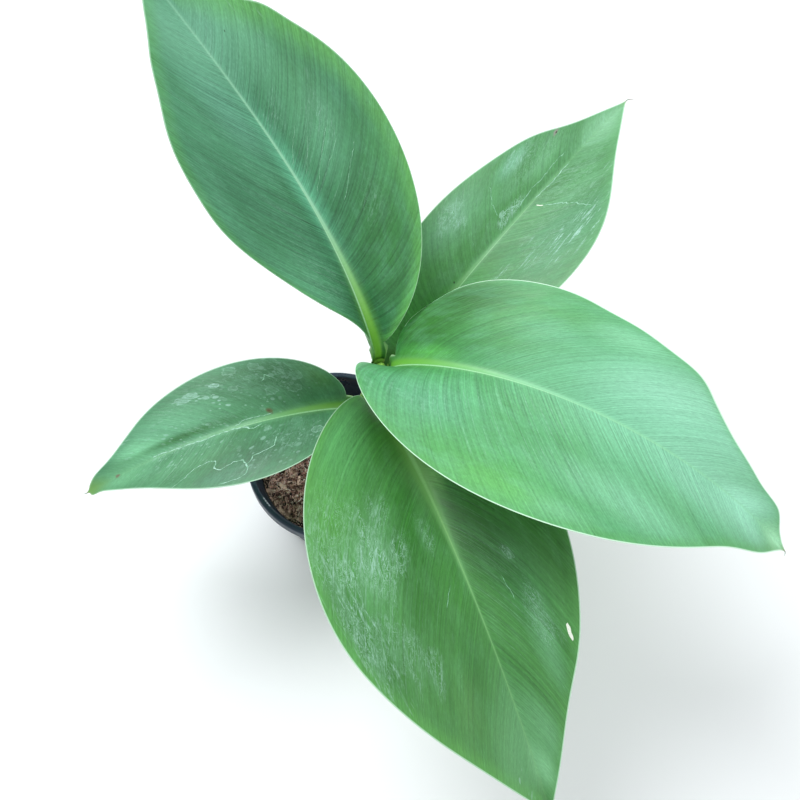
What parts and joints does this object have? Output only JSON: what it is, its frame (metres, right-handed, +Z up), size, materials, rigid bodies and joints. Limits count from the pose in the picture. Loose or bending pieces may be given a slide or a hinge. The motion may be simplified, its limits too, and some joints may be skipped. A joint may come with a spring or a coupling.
{
  "type": "potted banana plant",
  "caption": "Young banana plant with broad arching leaves on a short leaning pseudostem, standing in a round plastic nursery pot filled with soil.",
  "frame": {"origin": "centre of the pot's flat underside", "axes": "+Z up, -Y towards the front, where the leaf that hangs over the pot's rim points, +X towards the side of the largest leaf"},
  "size_m": [0.3577, 0.356, 0.3098],
  "materials": {
    "pot": "satin dark slate moulded plastic",
    "soil": "rough moist coir and peat with loose fibres",
    "pseudostem": "smooth waxy leaf sheaths, pale green",
    "leaf": "satin green blade with fine parallel veins and a pale midrib"
  },
  "bodies": {
    "root": {"pot": "pot", "soil": "soil", "pseudostem": "pseudostem", "leaf_1": "leaf", "leaf_2": "leaf", "leaf_3": "leaf", "leaf_4": "leaf", "leaf_5": "leaf"}
  },
  "joints": []
}
